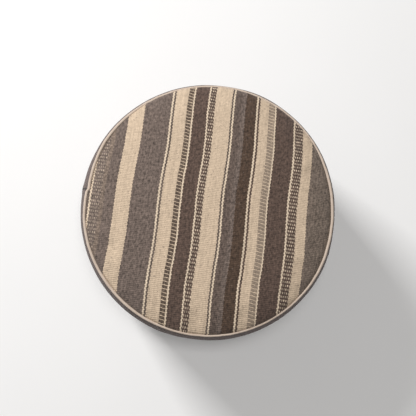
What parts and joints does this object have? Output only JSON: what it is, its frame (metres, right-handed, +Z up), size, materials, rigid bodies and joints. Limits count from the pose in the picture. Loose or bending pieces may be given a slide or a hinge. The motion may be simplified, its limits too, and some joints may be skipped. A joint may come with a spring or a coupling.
{
  "type": "pouf",
  "caption": "Low round upholstered floor seat with a crowned top of striped flat-woven kilim, piped rim, plain woven side wall and a zipped base over a foam insert.",
  "frame": {"origin": "where the pouf's axis meets the floor, at the middle of the underside", "axes": "+Z up; the stripes of the top run along Y and the zip in the base runs along X, its closed end at +X"},
  "size_m": [0.509, 0.5088, 0.38],
  "materials": {
    "kilim_striped": "flat-woven wool in cream, taupe and dark brown stripes",
    "kilim_plain": "plain dark taupe flat-woven wool",
    "piping_cotton": "cream cotton cut on the bias",
    "cord_cotton": "twisted undyed cotton cord",
    "base_canvas": "undyed cotton canvas",
    "zip_tape": "woven brown tape",
    "zip_teeth": "dull pressed brass",
    "zip_metal": "cast brass, lightly polished",
    "liner_cotton": "unbleached cotton sheeting",
    "foam_firm": "open-cell foam, matte",
    "foam_soft": "open-cell foam, matte",
    "wadding": "loose white fibre wadding"
  },
  "bodies": {
    "pouf": {"side_panel": "kilim_plain", "top_panel": "kilim_striped", "welt_cover": "piping_cotton", "welt_cord": "cord_cotton", "base_panel_rear": "base_canvas", "base_panel_front": "base_canvas", "zip_tape_rear": "zip_tape", "zip_tape_front": "zip_tape", "zip_teeth_rear": "zip_teeth", "zip_teeth_front": "zip_teeth", "zip_top_stops": "zip_teeth", "zip_bottom_stop": "zip_teeth", "liner_side": "liner_cotton", "liner_top": "liner_cotton", "liner_base": "liner_cotton", "foam_core": "foam_firm", "foam_seat": "foam_soft", "wadding_wrap": "wadding", "wadding_crown": "wadding"},
    "slider": {"zip_slider": "zip_metal"},
    "tab": {"zip_pull_tab": "zip_metal"}
  },
  "joints": [
    {"name": "zip_slide", "type": "slide", "parent": "pouf", "child": "slider", "axis": [-1, 0, 0], "range_m": [0, 0.333]},
    {"name": "tab_flip", "type": "hinge", "parent": "slider", "child": "tab", "pos_m": [0.1665, 0, 0.006], "axis": [0, -1, 0], "range_deg": [0, 180]}
  ]
}
